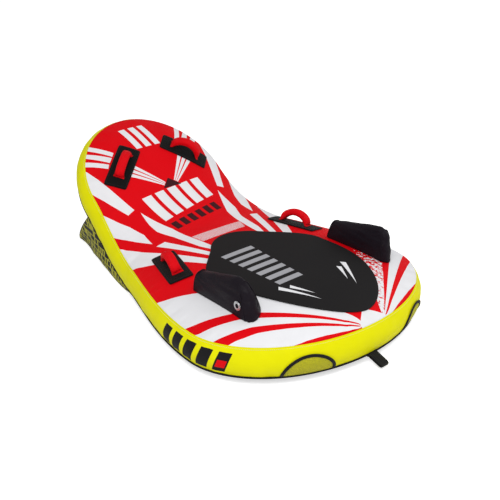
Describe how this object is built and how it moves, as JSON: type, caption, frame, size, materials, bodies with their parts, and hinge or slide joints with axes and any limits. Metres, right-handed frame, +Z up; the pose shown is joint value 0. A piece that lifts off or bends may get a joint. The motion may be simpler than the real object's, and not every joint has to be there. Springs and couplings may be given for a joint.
{
  "type": "towable tube",
  "caption": "Inflated ride-on towable tube: a rounded deck that curves up into a backrest on a wedge riser, with grab handles, side bolsters, a seat pad and a tow loop.",
  "frame": {"origin": "on the ground, under the widest station of the deck, in its middle", "axes": "+Z up; +Y back towards the backrest; the tow loop is at the -Y end; +X is the rider's left"},
  "size_m": [1.2698, 2.0055, 0.6263],
  "materials": {
    "printed_cover": "coated nylon, satin, printed red and white",
    "yellow_band": "coated nylon, satin, fluorescent yellow with black bars",
    "black_bottom": "coated nylon, satin black",
    "riser_print": "coated nylon, satin, black with yellow dashes",
    "bladder_film": "welded PVC film, smooth",
    "seat_foam": "textured closed-cell foam, matt",
    "red_webbing": "padded nylon webbing, satin red",
    "handle_foam": "closed-cell foam rod",
    "black_webbing": "flat woven nylon webbing",
    "knuckle_fabric": "coarse woven nylon over foam, matt",
    "bolster_fabric": "coated nylon, satin black",
    "bolster_foam": "upholstery foam",
    "steel": "nickel-plated",
    "drain_mesh": "open knitted mesh, yellow",
    "zip_plastic": "woven tape and moulded coil",
    "valve_plastic": "moulded PVC"
  },
  "bodies": {
    "root": {"top_panel": "printed_cover", "side_band": "yellow_band", "deck_bottom_panel": "black_bottom", "back_bottom_panel": "black_bottom", "bottom_binding": "black_webbing", "main_bladder": "bladder_film", "riser_cover": "riser_print", "riser_rear_panel": "black_bottom", "riser_bladder": "bladder_film", "seat_pad": "seat_foam", "left_upper_knuckle_pad": "knuckle_fabric", "right_upper_knuckle_pad": "knuckle_fabric", "left_lower_knuckle_pad": "knuckle_fabric", "right_lower_knuckle_pad": "knuckle_fabric", "left_upper_handle_tails": "red_webbing", "right_upper_handle_tails": "red_webbing", "left_lower_handle_tails": "red_webbing", "right_lower_handle_tails": "red_webbing", "left_bolster_sleeve": "bolster_fabric", "right_bolster_sleeve": "bolster_fabric", "left_bolster_front_cap": "bolster_fabric", "right_bolster_front_cap": "bolster_fabric", "left_bolster_rear_cap": "bolster_fabric", "right_bolster_rear_cap": "bolster_fabric", "left_bolster_core": "bolster_foam", "right_bolster_core": "bolster_foam", "left_bolster_eyelet": "steel", "right_bolster_eyelet": "steel", "left_drain_mesh": "drain_mesh", "right_drain_mesh": "drain_mesh", "left_drain_binding": "black_webbing", "right_drain_binding": "black_webbing", "tow_anchor": "black_webbing", "zip_tapes": "zip_plastic", "zip_coil": "zip_plastic", "main_valve_base": "valve_plastic", "riser_valve_base": "valve_plastic"},
    "left_upper_handle": {"left_upper_handle_sleeve": "red_webbing", "left_upper_handle_core": "handle_foam"},
    "left_lower_handle": {"left_lower_handle_sleeve": "red_webbing", "left_lower_handle_core": "handle_foam"},
    "right_upper_handle": {"right_upper_handle_sleeve": "red_webbing", "right_upper_handle_core": "handle_foam"},
    "right_lower_handle": {"right_lower_handle_sleeve": "red_webbing", "right_lower_handle_core": "handle_foam"},
    "tow_strap": {"tow_strap": "black_webbing"},
    "zip_slider": {"zip_slider": "steel"},
    "zip_pull": {"zip_pull": "steel"},
    "main_valve_cap": {"main_valve_cap": "valve_plastic"},
    "riser_valve_cap": {"riser_valve_cap": "valve_plastic"}
  },
  "joints": [
    {"name": "left_upper_handle_flop", "type": "hinge", "parent": "root", "child": "left_upper_handle", "pos_m": [0.19783, 1.09857, 0.50772], "axis": [-0.7057, 0.5179, 0.4834], "range_deg": [-50, 50], "stiffness_Nm_per_rad": 0.03},
    {"name": "left_lower_handle_flop", "type": "hinge", "parent": "root", "child": "left_lower_handle", "pos_m": [0.38753, 0.43935, 0.25649], "axis": [-0.2756, 0.9611, 0.0176], "range_deg": [-50, 50], "stiffness_Nm_per_rad": 0.03},
    {"name": "right_upper_handle_flop", "type": "hinge", "parent": "root", "child": "right_upper_handle", "pos_m": [-0.19783, 1.09857, 0.50772], "axis": [0.7057, 0.5179, 0.4834], "range_deg": [-50, 50], "stiffness_Nm_per_rad": 0.03},
    {"name": "right_lower_handle_flop", "type": "hinge", "parent": "root", "child": "right_lower_handle", "pos_m": [-0.38753, 0.43935, 0.25649], "axis": [0.2756, 0.9611, 0.0176], "range_deg": [-50, 50], "stiffness_Nm_per_rad": 0.03},
    {"name": "tow_strap_swing", "type": "hinge", "parent": "root", "child": "tow_strap", "pos_m": [0, -0.446, 0.038], "axis": [1, 0, 0], "range_deg": [-55, 45], "stiffness_Nm_per_rad": 0.004},
    {"name": "zip_travel", "type": "slide", "parent": "root", "child": "zip_slider", "axis": [1, 0, 0], "range_m": [-0.392, 0]},
    {"name": "zip_pull_swing", "type": "hinge", "parent": "zip_slider", "child": "zip_pull", "pos_m": [0.196, 1.26676, 0.1716], "axis": [0, 0.7656, -0.6433], "range_deg": [0, 165]},
    {"name": "main_valve_turn", "type": "hinge", "parent": "root", "child": "main_valve_cap", "pos_m": [0, 1.36556, 0.37342], "axis": [0, 0.6157, -0.788], "range_deg": [0, 360]},
    {"name": "riser_valve_turn", "type": "hinge", "parent": "root", "child": "riser_valve_cap", "pos_m": [0, 1.36437, 0.08568], "axis": [0, 0.6433, 0.7656], "range_deg": [0, 360]}
  ]
}
